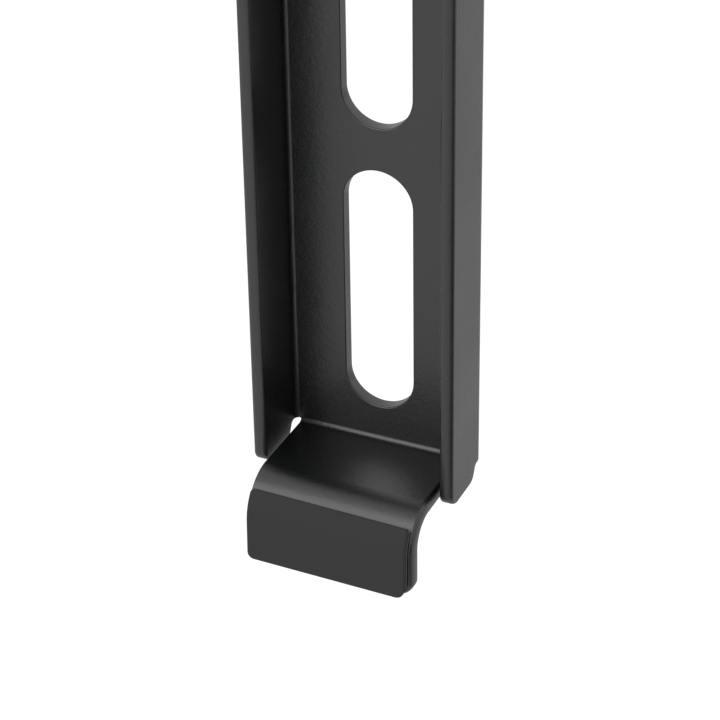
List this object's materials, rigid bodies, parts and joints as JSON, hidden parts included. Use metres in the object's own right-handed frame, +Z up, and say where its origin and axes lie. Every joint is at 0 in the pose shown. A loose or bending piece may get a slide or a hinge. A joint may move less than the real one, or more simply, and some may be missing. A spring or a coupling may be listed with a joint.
{
  "type": "fixed tv bracket arm",
  "caption": "Folded steel channel arm with a row of long slots in its web, hook notches near the top and a padded foot at the bottom.",
  "frame": {"origin": "middle of the slot row, on the web's rear face, which lies against the screen", "axes": "+Z up along the arm, +Y out of the web's rear face towards the screen, X across the arm"},
  "size_m": [0.0266, 0.018, 0.4503],
  "materials": {
    "powder_coat": "satin dark grey powder coat on folded sheet steel",
    "pad": "matte closed-cell rubber",
    "adhesive": "thin pale adhesive film"
  },
  "bodies": {
    "root": {"bracket_arm": "powder_coat", "foot_pad": "pad", "pad_adhesive": "adhesive"}
  },
  "joints": []
}
